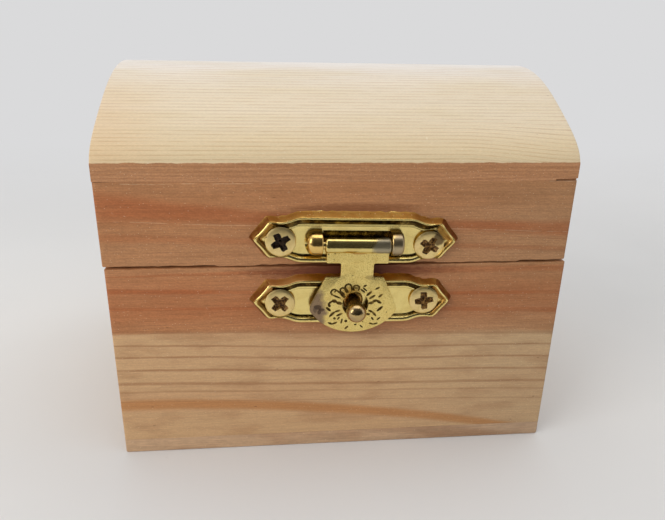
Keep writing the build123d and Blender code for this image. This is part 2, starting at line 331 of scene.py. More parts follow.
def tidy(piece):
    """Merges doubles and turns every face outwards."""
    open_edit(piece)
    bpy.ops.mesh.remove_doubles(threshold=weld_distance)
    bpy.ops.mesh.normals_make_consistent(inside=False)
    close_edit()
    return piece


def smooth(piece, angle=35):
    only(piece)
    bpy.ops.object.shade_smooth_by_angle(angle=math.radians(angle))
    return piece


def sharp(edge, angle=50):
    return len(edge.link_faces) == 2 and edge.calc_face_angle(0) > math.radians(angle)


def combine(piece, other, operation="DIFFERENCE", overlapping=False):
    """Cuts, adds or keeps with another piece, which is used up."""
    modifier = piece.modifiers.new("combine", "BOOLEAN")
    modifier.operation = operation
    modifier.object = other
    modifier.solver = "EXACT"
    modifier.use_self = overlapping
    modifier.material_mode = "TRANSFER"
    only(piece)
    bpy.ops.object.modifier_apply(modifier=modifier.name)
    bpy.data.objects.remove(other)
    return piece


def joined(pieces):
    """Several pieces as one piece."""
    only(pieces[0])
    for piece in pieces:
        piece.select_set(True)
    bpy.ops.object.join()
    return pieces[0]


def copied(piece):
    """A copy with a mesh of its own."""
    other = piece.copy()
    other.data = piece.data.copy()
    bpy.context.scene.collection.objects.link(other)
    return other


def outline(points):
    """A closed line through these points, started from a circle with as many corners."""
    piece = start(bpy.ops.mesh.primitive_circle_add, vertices=len(points), radius=mm)
    for vertex, point in zip(piece.data.vertices, points):
        vertex.co = point
    return piece


def skin(rings):
    """A closed skin that is extruded from ring to ring, with its two ends filled."""
    piece = outline(rings[0])
    open_edit(piece)
    bpy.ops.mesh.select_mode(type="EDGE")
    bpy.ops.mesh.select_all(action="SELECT")
    for old, new in zip(rings, rings[1:]):
        near = kdtree.KDTree(len(old))
        for index, point in enumerate(old):
            near.insert(point, index)
        near.balance()
        bpy.ops.mesh.extrude_edges_move()
        mesh = bmesh.from_edit_mesh(piece.data)
        for vertex in mesh.verts:
            if vertex.select:
                vertex.co = new[near.find(vertex.co)[1]]
        bmesh.update_edit_mesh(piece.data)
    bpy.ops.mesh.edge_face_add()
    pick(piece, "EDGE", lambda edge: len(edge.link_faces) == 1)
    bpy.ops.mesh.edge_face_add()
    close_edit()
    return tidy(piece)


def slab(points, step):
    """A flat outline that is extruded by one step."""
    return skin([points, [Vector(point) + step for point in points]])


def turned(profile, steps):
    """A turned piece round Z, spun from its profile of radius and height in millimetres."""
    ends = [(0.0, profile[-1][1])] if profile[-1][0] > 0 else []
    points = [Vector((radius * mm, 0, height * mm)) for radius, height in list(profile) + ends]
    piece = outline(points)
    open_edit(piece)
    bpy.ops.mesh.spin(steps=steps, angle=2 * math.pi, center=(0, 0, 0), axis=(0, 0, 1))
    close_edit()
    return tidy(piece)


def arc_between(begin, middle, end, steps):
    """Points on the circle through three places, from begin up to but without end."""
    (ax, ay), (bx, by), (cx, cy) = begin, middle, end
    d = 2 * (ax * (by - cy) + bx * (cy - ay) + cx * (ay - by))
    a2, b2, c2 = ax * ax + ay * ay, bx * bx + by * by, cx * cx + cy * cy
    ux = (a2 * (by - cy) + b2 * (cy - ay) + c2 * (ay - by)) / d
    uy = (a2 * (cx - bx) + b2 * (ax - cx) + c2 * (bx - ax)) / d
    radius = math.hypot(ax - ux, ay - uy)
    first, mid, last = (math.atan2(y - uy, x - ux) for x, y in (begin, middle, end))
    turn = (last - first) % (2 * math.pi)
    if (mid - first) % (2 * math.pi) > turn:
        turn -= 2 * math.pi
    angles = [first + turn * index / steps for index in range(steps)]
    return [(ux + radius * math.cos(a), uy + radius * math.sin(a)) for a in angles]


# Material helpers

def tone(code):
    """A colour written as six hex digits, as linear red, green, blue and alpha."""
    parts = [int(code[i:i + 2], 16) / 255 for i in (0, 2, 4)]
    return tuple(p / 12.92 if p < 0.04045 else ((p + 0.055) / 1.055) ** 2.4 for p in parts) + (1.0,)


class Look:
    """The nodes of one material, or of one group of nodes."""

    def __init__(self, tree):
        self.tree = tree

    def give(self, socket, value):
        """Links an input to a node's output, or gives it a value."""
        if isinstance(value, bpy.types.NodeSocket):
            self.tree.links.new(value, socket)
        else:
            socket.default_value = value

    def node(self, kind, inputs, **settings):
        """A node with its settings, and with each input linked or given a value."""
        node = self.tree.nodes.new("ShaderNode" + kind)
        for key, value in settings.items():
            setattr(node, key, value)
        for key, value in inputs.items():
            self.give(node.inputs[key], value)
        return node

    def calc(self, operation, *values):
        return self.node("Math", dict(enumerate(values)), operation=operation).outputs[0]

    def times(self, one, other):
        return self.calc("MULTIPLY", one, other)

    def plus(self, one, other):
        return self.calc("ADD", one, other)

    def minus(self, one, other):
        return self.calc("SUBTRACT", one, other)

    def larger(self, one, other):
        return self.calc("MAXIMUM", one, other)

    def times_plus(self, value, factor, extra):
        return self.calc("MULTIPLY_ADD", value, factor, extra)

    def ramp(self, value, begin, end, low=0.0, high=1.0):
        """A soft step from low to high while the value goes from begin to end."""
        inputs = {"Value": value, "From Min": begin, "From Max": end, "To Min": low, "To Max": high}
        return self.node("MapRange", inputs, interpolation_type="SMOOTHSTEP").outputs[0]

    def mix(self, factor, low, high, mode="MIX"):
        return self.node("Mix", {0: factor, 6: low, 7: high}, data_type="RGBA", blend_type=mode).outputs[2]

    def shaded(self, colour, amount):
        """A colour made darker or lighter by an amount."""
        grey = self.node("CombineColor", {0: amount, 1: amount, 2: amount}).outputs[0]
        return self.mix(1.0, colour, grey, "MULTIPLY")

    def split(self, vector):
        return self.node("SeparateXYZ", {0: vector}).outputs

    def vector(self, x, y, z):
        return self.node("CombineXYZ", {0: x, 1: y, 2: z}).outputs[0]

    def scaled(self, vector, scale, offset=(0, 0, 0)):
        return self.node("Mapping", {"Vector": vector, "Scale": scale, "Location": offset}).outputs[0]

    def cloud(self, vector, scale, detail=2.0, offset=(0, 0, 0)):
        """Noise from 0 to 1, stretched by a scale for each direction."""
        inputs = {"Vector": self.scaled(vector, scale, offset), "Scale": 1.0, "Detail": detail}
        return self.node("TexNoise", inputs).outputs[0]

    def dots(self, vector, scale, size, share, offset=(0, 0, 0)):
        """Scattered dots: a share of the cells holds one of this size."""
        cells = self.node("TexVoronoi", {"Vector": self.scaled(vector, scale, offset), "Scale": 1.0})
        chance = self.node("SeparateColor", {0: cells.outputs["Color"]}).outputs[0]
        inside = self.ramp(cells.outputs["Distance"], size, size * 0.5)
        return self.times(inside, self.calc("GREATER_THAN", chance, 1 - share))

    def away(self, parts, x, z, wide, tall):
        """The square of the distance from a spot of the front, in units of the spot's half sizes."""
        dx = self.calc("DIVIDE", self.minus(parts[0], x), wide)
        dz = self.calc("DIVIDE", self.minus(parts[2], z), tall)
        return self.plus(self.times(dx, dx), self.times(dz, dz))

    def seen(self):
        """One for what the camera sees, directly, mirrored or through glass."""
        path = self.node("LightPath", {}).outputs
        mirrored = self.larger(path["Is Glossy Ray"], path["Is Transmission Ray"])
        return self.larger(path["Is Camera Ray"], mirrored)

    def surface(self, **inputs):
        """Sets the shader's inputs: their names have low lines for spaces."""
        for key, value in inputs.items():
            self.give(self.shader.inputs[key.replace("_", " ")], value)

    def relief(self, height, strength, distance):
        """Fine bumps on the surface."""
        inputs = {"Height": height, "Strength": strength, "Distance": distance * mm}
        self.surface(Normal=self.node("Bump", inputs).outputs[0])


def new_look(name):
    """An empty material with its shader, and object coordinates in millimetres."""
    material = bpy.data.materials.new(name)
    material.use_nodes = True
    look = Look(material.node_tree)
    look.material = material
    look.shader = look.tree.nodes["Principled BSDF"]
    place = look.node("TexCoord", {}).outputs["Object"]
    return look, look.scaled(place, (1000, 1000, 1000))


# Wood

def band_group():
    """A growth line or band: its height and half width follow a gentle curve along the board."""
    group = bpy.data.node_groups.new("growth_band", "ShaderNodeTree")
    names = ["Along", "Across", "Height", "Slope", "Curve", "Width", "Width slope", "Width curve", "Strength"]
    for name in names:
        group.interface.new_socket(name, in_out="INPUT", socket_type="NodeSocketFloat")
    group.interface.new_socket("Band", in_out="OUTPUT", socket_type="NodeSocketFloat")
    look = Look(group)
    start_node = group.nodes.new("NodeGroupInput").outputs
    along, across = start_node["Along"], start_node["Across"]

    def curve(value, slope, bend):
        inner = look.times_plus(start_node[bend], along, start_node[slope])
        return look.times_plus(inner, along, start_node[value])

    off = look.minus(across, curve("Height", "Slope", "Curve"))
    width = look.larger(curve("Width", "Width slope", "Width curve"), 0.05)
    share = look.calc("DIVIDE", off, width)
    inside = look.ramp(look.calc("ABSOLUTE", share), 1.45, 0.35)
    result = look.times(inside, start_node["Strength"])
    end_node = group.nodes.new("NodeGroupOutput")
    group.links.new(result, end_node.inputs[0])
    return group


growth_band = band_group()
band_reach = 35.0


def bent(left, middle, right):
    """Value, slope and curve of the line through three heights: left end, middle and right end."""
    return middle, (right - left) / (2 * band_reach), (left + right - 2 * middle) / (2 * band_reach ** 2)


def bands(look, along, across, rows):
    """All bands of a board together: each row is three heights, three half widths and a strength."""
    total = None
    for heights, widths, strength in rows:
        values = [along, across, *bent(*heights), *bent(*widths), strength]
        band = look.node("Group", dict(enumerate(values)), node_tree=growth_band).outputs[0]
        total = band if total is None else look.larger(total, band)
    return total


def even_bands(first, gaps, slope, width, strength):
    """Rows of growth lines that start at a height and follow each other at the given gaps."""
    rows, height = [], first
    for index, gap in enumerate(gaps):
        soft = width * (0.7 + 0.3 * (index % 3))
        drop = slope * (1 + 0.15 * (index % 4))
        faint = 1 - 0.2 * (index % 2)
        rows.append(((height + drop, height, height - drop), (soft, soft, soft), strength * faint))
        height += gap
    return rows


# Growth lines of the front, in millimetres above the table: left end, middle, right end
brown_front = [
    ((47.5, 47.4, 47.3), (0.12, 0.12, 0.12), 0.35),
    ((46.8, 46.7, 46.6), (0.1, 0.12, 0.1), 0.5),
    ((46.2, 46.1, 46.0), (0.1, 0.1, 0.1), 0.35),
    ((22.1, 21.05, 19.95), (0.3, 0.26, 0.35), 0.45),
    ((19.75, 18.55, 17.85), (0.15, 0.16, 0.18), 0.55),
    ((17.65, 16.55, 15.55), (0.18, 0.2, 0.18), 0.58),
    ((15.3, 14.4, 13.25), (0.2, 0.22, 0.18), 0.58),
    ((12.95, 11.95, 10.85), (0.3, 0.26, 0.26), 0.5),
    ((11.4, 10.55, 9.35), (0.18, 0.18, 0.16), 0.35),
    ((9.7, 8.7, 7.5), (0.05, 0.12, 0.15), 0.3),
]
orange_front = [((9.1, 6.85, 0.75), (1.0, 0.95, 0.75), 0.9)]
pale_front = [
    ((45.08, 45.15, 45.1), (0.07, 0.03, 0.05), 0.3),
    ((39.7, 38.4, 37.2), (0.05, 0.04, 0.03), 0.25),
]
red_front = [
    ((41.9, 39.3, 37.7), (2.3, 0.75, 1.4), 0.85),
    ((42.9, 38.8, 36.0), (1.0, 0.1, 0.1), 0.5),
    ((26.9, 26.6, 26.2), (4.4, 4.2, 4.0), 0.55),
    ((37.2, 35.9, 34.6), (0.7, 0.5, 0.4), 0.4),
    ((31.2, 31.5, 31.4), (0.1, 0.5, 0.6), 0.65),
    ((29.0, 27.9, 27.2), (0.55, 0.42, 0.45), 1.0),
    ((26.2, 25.1, 24.1), (0.35, 0.4, 0.6), 0.9),
    ((24.4, 23.5, 22.2), (0.2, 0.2, 0.3), 0.25),
]


def pine(name, order, colours, brown, red, orange, red_above, stains_and_shade=(), pale=(), fleck_share=0.3,
         right_painted_shade=(1, 1, 1, 1)):
    """Raw pine: order says which object directions run along, across and through the board."""
    look, place = new_look(name)
    parts = look.split(place)
    along, across, through = (parts["XYZ".index(letter)] for letter in order)
    grain = look.vector(along, across, through)
    wander = look.cloud(grain, (0.028, 0.1, 0.1), 1.0)
    ripple = look.cloud(grain, (0.22, 0.5, 0.4), 2.0, (7, 3, 1))
    offset = look.times_plus(wander, 0.9, -0.45)
    offset = look.times_plus(ripple, 0.24, look.plus(offset, -0.12))
    level = look.plus(across, offset)
    level = look.times_plus(through, 0.22, look.plus(level, 0.22 * 27.5))
    colour = colours["pale"]
    if red_above:
        middle, slope, curve = bent(*red_above)
        inner = look.times_plus(along, curve, slope)
        edge = look.times_plus(inner, along, middle)
        above = look.ramp(look.minus(level, edge), -0.3, 0.5)
        colour = look.mix(above, colours["pale"], colours["rosy"])
    broad = look.cloud(grain, (0.02, 0.22, 0.2), 2.0, (3, 9, 2))
    colour = look.mix(look.ramp(broad, 0.35, 0.7, 0.0, 0.4), colour, colours["tan"])
    mottle = look.cloud(grain, (0.12, 0.45, 0.3), 3.0, (6, 4, 9))
    colour = look.mix(look.ramp(mottle, 0.45, 0.7, 0.0, 0.3), colour, colours["brown"])
    layers = (
        (red, "red", ((0.09, 0.5, 0.4), 3.0, (5, 1, 8)), (0.25, 0.6, 0.65, 1.0)),
        (orange, "orange", None, None),
        (brown, "brown", ((0.14, 1.2, 0.8), 3.0, (1, 4, 6)), (0.2, 0.6, 0.5, 1.0)),
        (pale, "fleck", ((0.5, 3.0, 1.0), 3.0, (2, 6, 1)), (0.42, 0.55)),
    )
    for rows, shown, patches, step in layers:
        if rows:
            amount = bands(look, along, level, rows)
            if patches:
                amount = look.times(amount, look.ramp(look.cloud(grain, *patches), *step))
            colour = look.mix(amount, colour, colours[shown])
    fibre = look.cloud(grain, (0.12, 5.0, 5.0), 4.0)
    silk = look.cloud(grain, (0.9, 4.6, 4.0), 3.0, (2, 2, 5))
    slanted = look.node("Mapping", {"Vector": grain, "Rotation": (0, 0, 0.65)}).outputs[0]
    sawn = look.cloud(slanted, (0.45, 4.8, 2.0), 3.0, (8, 8, 3))
    shade = look.ramp(fibre, 0.25, 0.75, 0.89, 1.09)
    shade = look.times(shade, look.ramp(silk, 0.25, 0.75, 0.915, 1.085))
    shade = look.times(shade, look.ramp(sawn, 0.3, 0.7, 0.975, 1.025))
    if red_above:
        grit = look.cloud(grain, (3.2, 4.2, 4.0), 2.0, (5, 5, 5))
        shade = look.times(shade, look.ramp(grit, 0.3, 0.7, 0.93, 1.07))
        amount = look.ramp(above, 0.0, 1.0, 0.6, 1.05)
        shade = look.times_plus(look.minus(shade, 1.0), amount, 1.0)
    colour = look.shaded(colour, shade)
    flecks = look.dots(grain, (1.9, 2.8, 1.2), 0.16, fleck_share, (0, 0.3, 0))
    scratch = look.dots(grain, (0.4, 2.4, 1.0), 0.1, fleck_share * 0.5, (4, 0, 0))
    bright = look.larger(flecks, look.times(scratch, 0.8))
    colour = look.mix(look.times(bright, 0.5), colour, colours["fleck"])
    specks = look.dots(grain, (0.3, 0.9, 0.7), 0.09, 0.12, (9, 5, 2))
    colour = look.mix(look.times(specks, 0.55), colour, colours["speck"])
    # Stains and painted shade, on the front faces only.
    for x, z, wide, tall, strength, shown in stains_and_shade:
        away = look.away(parts, x, z, wide, tall)
        patch = look.ramp(look.times_plus(silk, 0.8, away), 1.5, 0.3)
        patch = look.times(patch, look.ramp(parts[1], -26.6, -27.3, 0.0, strength))
        colour = look.mix(patch, colour, tone(shown))
    # Painted shade: the colour grows darker and cooler towards the right end of the board.
    shaded_right = look.mix(1.0, colour, right_painted_shade, "MULTIPLY")
    colour = look.mix(look.ramp(along, 0.0, 34.0), colour, shaded_right)
    look.surface(Base_Color=colour, Roughness=0.62, Specular_IOR_Level=0.35)
    height = look.times_plus(fibre, 0.6, look.times(silk, 0.5))
    height = look.times_plus(bright, 0.8, height)
    look.relief(height, 0.35, 0.06)
    return look.material


front_colours = {
    "pale": tone("C9A175"), "rosy": tone("B37B4F"), "tan": tone("BF8F65"), "red": tone("AA6236"),
    "orange": tone("B97F4B"), "brown": tone("93613A"), "fleck": tone("E9CFA9"), "speck": tone("6B4226"),
}
plain_colours = dict(front_colours, pale=tone("CDAC80"), rosy=tone("C2966C"), red=tone("B5764C"))
bottom_colours = dict(front_colours, pale=tone("C6A27E"), rosy=tone("C09B77"), tan=tone("B99370"))

# Stains and painted shade of the front: across, up, half sizes, strength and colour. The first two are partly
# painted shade between the hasp plates and partly a redder band of the wood; the third is a darker patch just
# above the upper plate.
front_stains_and_shade = (
    (1.5, 31.5, 9.5, 2.2, 0.9, "5A1A04"),
    (1.0, 31.5, 19.0, 1.7, 0.95, "6A3316"),
    (1.7, 41.2, 12.5, 1.1, 0.65, "7A421E"),
)
# The front's last value is painted shade towards its right end.
front_pine = pine(
    "pine_front", "XZY", front_colours, brown_front, red_front, orange_front, (21.8, 21.1, 20.2),
    front_stains_and_shade, pale_front, 0.5, (0.89, 0.97, 1.03, 1.0))
back_pine = pine(
    "pine_back", "XZY", plain_colours,
    even_bands(4.0, (2.4, 2.1, 2.6, 1.9, 2.3, 2.8, 2.2, 3.1, 2.6, 2.0, 2.4, 2.9, 2.3, 2.5, 2.2, 2.0),
               0.7, 0.24, 0.55),
    [((14.0, 15.5, 19.0), (1.2, 0.9, 1.3), 0.6)], None, (30.0, 31.5, 34.0))
side_pine = pine(
    "pine_side", "YZX", plain_colours,
    even_bands(3.2, (2.0, 2.3, 1.8, 2.6, 2.1, 2.4, 2.9, 2.2, 2.5, 2.0, 2.7, 2.3, 2.1, 2.6, 2.4, 2.2),
               -0.6, 0.2, 0.5),
    [((24.0, 22.0, 21.0), (0.9, 1.2, 0.8), 0.5)], [((8.0, 7.4, 6.0), (0.8, 0.7, 0.6), 0.6)], None)
# The bottom's last value is painted shade towards its right end.
bottom_pine = pine(
    "pine_bottom", "XYZ", bottom_colours,
    even_bands(-26.0, (2.6, 3.1, 2.4, 2.9, 3.4, 2.7, 3.0, 2.5, 3.3, 2.8, 2.6, 3.1, 2.9, 2.7, 3.2, 2.5),
               1.2, 0.3, 0.45),
    None, None, None, right_painted_shade=(0.9, 0.94, 1.0, 1.0))


def dome_pine():
    """The pale board of the lid: fine straight grain along X, with a redder front edge, and painted haze that
    makes it paler towards the back.
    """
    look, place = new_look("pine_top")
    parts = look.split(place)
    x, y, z = parts[0], parts[1], parts[2]
    across = look.times_plus(z, 2.0, y)
    fan = look.times(look.ramp(x, 17.0, 36.0, 0.0, 3.4), look.ramp(y, -20.0, -26.0))
    across = look.plus(across, fan)
    grain = look.vector(x, across, z)
    wander = look.cloud(grain, (0.03, 0.12, 0.1), 1.0)
    level = look.times_plus(wander, 0.5, across)
    straight = look.vector(x, level, 0.0)
    drift = look.cloud(straight, (0.012, 0.16, 1.0), 1.0, (4, 2, 0))
    lines = look.calc("SINE", look.times_plus(level, 4.3, look.times(drift, 6.0)))
    close = look.cloud(straight, (0.03, 2.6, 1.0), 3.0, (3, 1, 0))
    broken = look.cloud(straight, (0.25, 0.9, 1.0), 4.0, (7, 4, 0))
    silk = look.cloud(grain, (2.5, 5.0, 5.0), 3.0, (2, 2, 5))
    patch = look.cloud(grain, (0.05, 0.16, 0.12), 2.0, (6, 2, 3))
    # Paler towards the back: partly the board's own tone, partly painted haze where light grazes the back of
    # the lid; the grain lines fade there too.
    colour = look.mix(look.ramp(y, -27.5, -19.0), tone("DEC69D"), tone("E7D4B5"))
    colour = look.mix(look.ramp(y, -18.0, 4.0), colour, tone("F7F0EA"))
    shown = look.times(look.ramp(patch, 0.4, 0.75, 0.0, 0.5), look.ramp(y, 4.0, -10.0, 0.3, 1.0))
    colour = look.mix(shown, colour, tone("DFC99E"))
    dark = look.times(look.ramp(lines, 0.4, 1.0), look.ramp(broken, 0.35, 0.6, 0.3, 1.0))
    dark = look.times(dark, look.ramp(y, 6.0, -8.0, 0.3, 1.0))
    # Painted light: a warm orange tint on the lit left end of the lid.
    painted_warm_light = look.times(look.ramp(x, -22.0, -35.0, 0.0, 0.35), look.ramp(y, -8.0, -22.0))
    colour = look.mix(painted_warm_light, colour, tone("E2B988"))
    colour = look.mix(look.times(dark, 0.44), colour, tone("C49A6C"))
    shade = look.ramp(close, 0.25, 0.75, 0.95, 1.05)
    shade = look.times(shade, look.ramp(silk, 0.25, 0.75, 0.94, 1.05))
    colour = look.shaded(colour, shade)
    flecks = look.dots(grain, (0.7, 1.2, 1.0), 0.13, 0.16)
    colour = look.mix(look.times(flecks, 0.5), colour, tone("F2E6CF"))
    specks = look.dots(grain, (0.2, 0.36, 0.36), 0.055, 0.25, (9, 5, 2))
    colour = look.mix(look.times(specks, 0.75), colour, tone("6B4A30"))
    cut = look.dots(grain, (1.4, 0.3, 0.3), 0.22, 0.012, (2, 7, 3))
    colour = look.mix(look.times(cut, 0.3), colour, tone("F6ECD9"))
    streaks = look.ramp(look.cloud(place, (0.08, 0.3, 3.4), 3.0), 0.35, 0.65)
    edge = look.mix(streaks, tone("BA8458"), tone("AC764A"))
    stripes = bands(look, x, z, brown_front[:3])
    edge = look.mix(look.times(stripes, 0.35), edge, tone("93673E"))
    grit = look.cloud(place, (3.2, 4.0, 4.2), 2.0)
    grit = look.plus(look.cloud(place, (0.9, 4.0, 4.6), 3.0, (2, 2, 5)), grit)
    edge = look.shaded(edge, look.ramp(grit, 0.6, 1.4, 0.84, 1.16))
    chips = look.dots(place, (1.9, 1.2, 2.8), 0.16, 0.5, (0, 0.3, 0))
    edge = look.mix(look.times(chips, 0.5), edge, tone("E9CFA9"))
    ragged = look.times_plus(look.cloud(place, (0.45, 0.0, 0.0), 3.0, (1, 0, 0)), 0.5, look.plus(z, -0.25))
    below = look.ramp(ragged, 48.03, 47.93)
    colour = look.mix(below, colour, edge)
    look.surface(Base_Color=colour, Roughness=0.58, Specular_IOR_Level=0.4)
    look.surface(Sheen_Weight=0.35, Sheen_Roughness=0.5)
    height = look.times_plus(close, 0.7, look.times(silk, 0.5))
    height = look.times_plus(dark, -0.6, height)
    look.relief(height, 0.4, 0.06)
    return look.material


top_pine = dome_pine()


# Brass

def brass(name, colour, roughness, pits=0.1, wear_and_painted_light=(), grain=0.5, dull=0.0):
    """Plated brass with specks and pits, and with patches that may be duller: worn patches, and painted light
    on some parts.
    A patch is across, up, its half sizes, strength and colour. A grain above 1.8 adds painted glints."""
    look, place = new_look(name)
    parts = look.split(place)
    fine = look.cloud(place, (7, 7, 7), 4.0)
    coarse = look.cloud(place, (0.9, 0.9, 0.9), 3.0, (1, 2, 3))
    tint = look.mix(look.ramp(coarse, 0.4, 0.75, 0.0, 0.4), tone(colour), tone("D8B765"))
    tint = look.mix(look.times(look.ramp(fine, 0.52, 0.66), 0.3 * grain), tint, tone("A58C45"))
    holes = look.dots(place, (1.1, 1.1, 1.1), 0.13, pits, (0.4, 0.2, 0.7))
    tint = look.mix(look.times(holes, 0.85), tint, tone("3A2C12"))
    rough = look.ramp(fine, 0.3, 0.75, roughness * 0.8, roughness * 1.35)
    for x, z, across, up, strength, shown in wear_and_painted_light:
        away = look.calc("SQRT", look.away(parts, x, z, across, up))
        ragged = look.times_plus(coarse, 0.7, look.times_plus(fine, 0.25, away))
        patch = look.times(look.ramp(ragged, 1.6, 1.2), strength)
        tint = look.mix(patch, tint, tone(shown))
        rough = look.times_plus(patch, dull, rough)
    # Painted glints: bright dots in the colour, for the coarse grain of the skirt.
    if grain > 1.8:
        painted_glints = look.dots(place, (2.2, 2.2, 2.2), 0.2, 0.3, (3, 1, 2))
        tint = look.mix(look.times(painted_glints, 0.8), tint, tone("F8E3A8"))
    look.surface(Base_Color=tint, Roughness=rough, Metallic=1.0)
    height = look.minus(look.times(fine, grain), look.times(holes, 2.0))
    look.relief(height, 0.35, 0.03)
    return look.material


plate_brass = brass("hasp_brass", "F3DC8E", 0.2, 0.1, ((14.3, 37.2, 1.3, 1.5, 0.85, "4A2A16"),), 0.5)
# Painted dark reflection and shade: this dark brass goes on the border's inner slopes along the top and the
# ends, and in the slot above the barrel.
painted_shade_brass = brass("painted_shade_brass", "35260F", 0.24, 0.1, (), 0.8)
# The skirt: its darker golden brown is partly tarnish and partly painted reflection of the wood; its light
# patch on the lower plate's left is painted light.
skirt_brass = brass("skirt_brass", "B98843", 0.36, 0.6, ((-9.5, 30.0, 5.5, 1.7, 0.9, "E6B878"),), 2.4)
# Painted reflection: the skirt at the plate's tips is darker reddish brown, like the mirrored wood.
tip_reflection_brass = brass("tip_reflection_brass", "8E5A2C", 0.38, 0.5, (), 1.4)
# Of the tongue's patches, the orange line along the crease under the barrel is painted reflection.
tongue_brass = brass(
    "tongue_brass", "F2D886", 0.27, 0.4,
    ((-4.9, 25.8, 2.3, 4.3, 0.95, "8E765F"), (-3.9, 26.5, 0.6, 0.4, 0.75, "42332B"),
     (-3.35, 26.1, 0.45, 0.25, 0.75, "42332B"), (-3.7, 25.7, 0.3, 0.45, 0.75, "42332B"),
     (-4.3, 26.2, 0.35, 0.6, 0.6, "55463C"),
     (2.1, 35.1, 1.4, 0.22, 0.7, "B06A2C"), (3.9, 31.2, 0.9, 0.35, 0.45, "6F5A3A")), 1.6)
barrel_brass = brass("barrel_brass", "E9D588", 0.18, 0.1, ((5.9, 36.2, 2.1, 1.6, 0.85, "A09886"),), 0.5, 0.3)
loop_brass = brass("loop_brass", "EEC878", 0.16, 0.05, ((8.2, 36.0, 1.6, 2.2, 0.8, "A89C86"),), 0.8, 0.25)
screw_brass = brass("screw_brass", "F8DD9A", 0.38, 0.25, ((14.0, 36.8, 0.9, 1.0, 0.8, "4A2C1A"),), 0.3)
hinge_brass = brass("hinge_brass", "ECD286", 0.24, 0.08, (), 0.6)
dark_brass = brass("tarnished_brass", "5A4526", 0.5, 0.3, (), 1.0)


def recess_material(name, dark, light):
    """The rough inside of a driver's recess: brown and grimy with a little metal in it."""
    look, place = new_look(name)
    dirt = look.cloud(place, (4, 4, 4), 4.0)
    colour = look.mix(look.ramp(dirt, 0.4, 0.62), tone(dark), tone(light))
    look.surface(Base_Color=colour, Metallic=0.5, Roughness=0.55)
    look.relief(dirt, 0.6, 0.08)
    return look.material


recess_grime = recess_material("recess_grime", "4A2E18", "A67C40")
# A darker recess, for the upper left screw.
recess_darker = recess_material("recess_darker", "1C120C", "4A3420")


def dress(piece, node, material, body):
    """Names a finished piece after the node that it stands for, and gives it its finish and its body."""
    piece.name = piece.data.name = node + "_piece"
    if not piece.data.materials:
        coat(piece, material)
    else:
        piece.data.materials[0] = material
    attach(piece, body)
    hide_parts(node)
    return piece


# Wooden boards


def frayed(piece, long_axis, cut_z, side):
    """Roughens the edge that the saw left: side is 1 where the wood lies above the cut."""
    open_edit(piece)
    reach = max(vertex.co[long_axis] for vertex in piece.data.vertices)
    steps = int(2 * reach / saw_step)
    pick(piece, "EDGE", lambda e: abs(e.verts[0].co[long_axis] - e.verts[1].co[long_axis]) > reach)
    bpy.ops.mesh.subdivide(number_cuts=steps)
    close_edit()
    for vertex in piece.data.vertices:
        if abs(vertex.co.z - cut_z) > 2 * arris_easing:
            continue
        along = vertex.co[long_axis] / mm
        wear = noise.noise(Vector((along * 1.7, cut_z / mm * side, 3 * side))) * saw_fray
        wear += noise.noise(Vector((along * 0.5, side, 9))) * saw_fray
        if side > 0 and long_axis == 0 and vertex.co.y < 0:
            for first, last, opening in seam_stretches:
                if first <= along < last:
                    wear += opening * mm
        vertex.co.z += wear
    return piece


def board(node, long_axis, material, body, cut=None):
    """A flat board as large as its node, with eased corners and crisp joints."""
    low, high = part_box(node)
    piece = start_cube((low + high) / 2, high - low)

    def outside(edge, count):
        planes = all(v.co.z < foot_reach for v in edge.verts)
        for axis, limit in ((0, box_low.x), (0, box_high.x), (1, front_y), (1, back_y)):
            planes += all(abs(v.co[axis] - limit) < outside_reach for v in edge.verts)
        return planes >= count

    def at_cut(edge):
        return sharp(edge, 60) and all(abs(v.co.z - cut[0]) < arris_easing for v in edge.verts)

    open_edit(piece)
    ease(piece, lambda e: outside(e, 2), corner_easing, 3)
    if cut:
        ease(piece, at_cut, arris_easing, 2)
    ease(piece, lambda e: sharp(e, 60), joint_easing, 1)
    close_edit()
    if cut:
        frayed(piece, long_axis, *cut)
    return dress(smooth(tidy(piece)), node, material, body)


def arched(node, profile, material, easing):
    """A board whose outline in Y and Z is extruded along X over its node's length."""
    low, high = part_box(node)
    length = high.x - low.x
    is_long = length > long_board
    piece = slab([Vector((low.x, y, z)) for y, z in profile], x_axis * length)
    open_edit(piece)
    ease(piece, lambda e: sharp(e, 50) and all(v.co.z > wall_top + easing for v in e.verts), easing, 3)
    if is_long:
        pick(piece, "EDGE", lambda e: abs(e.verts[0].co.x - e.verts[1].co.x) > 0.9 * length)
        bpy.ops.mesh.subdivide(number_cuts=shoulder_cuts)
    close_edit()
    for vertex in piece.data.vertices:
        x, y, z = vertex.co
        if is_long and abs(z - shoulder) < 0.3 * mm and abs(y) > back_y - 0.4 * mm:
            vertex.co.z += noise.noise(Vector((x / mm * 0.9, y, 2))) * shoulder_wear
            vertex.co.y += noise.noise(Vector((x / mm * 1.3, y, 7))) * shoulder_wear * 0.5
    return dress(smooth(tidy(piece)), node, material, "lid")


def arch(half, spring, top, fullness=0.0):
    """The arch from front to back, as points in Y and Z: fuller at its feet, flatter higher up."""
    points = arc_between((-half, spring), (0, top), (half, spring), arch_steps) + [(half, spring)]
    middle = Vector((0, (spring * spring + half * half - top * top) / (2 * (spring - top))))
    shaped = []
    for point in points:
        share = (point[1] - spring) / (top - spring)
        grow = fullness * math.sin(2 * math.pi * min(max(share, 0), 1) ** 0.7)
        shaped.append(tuple(Vector(point) + (Vector(point) - middle).normalized() * grow))
    return shaped


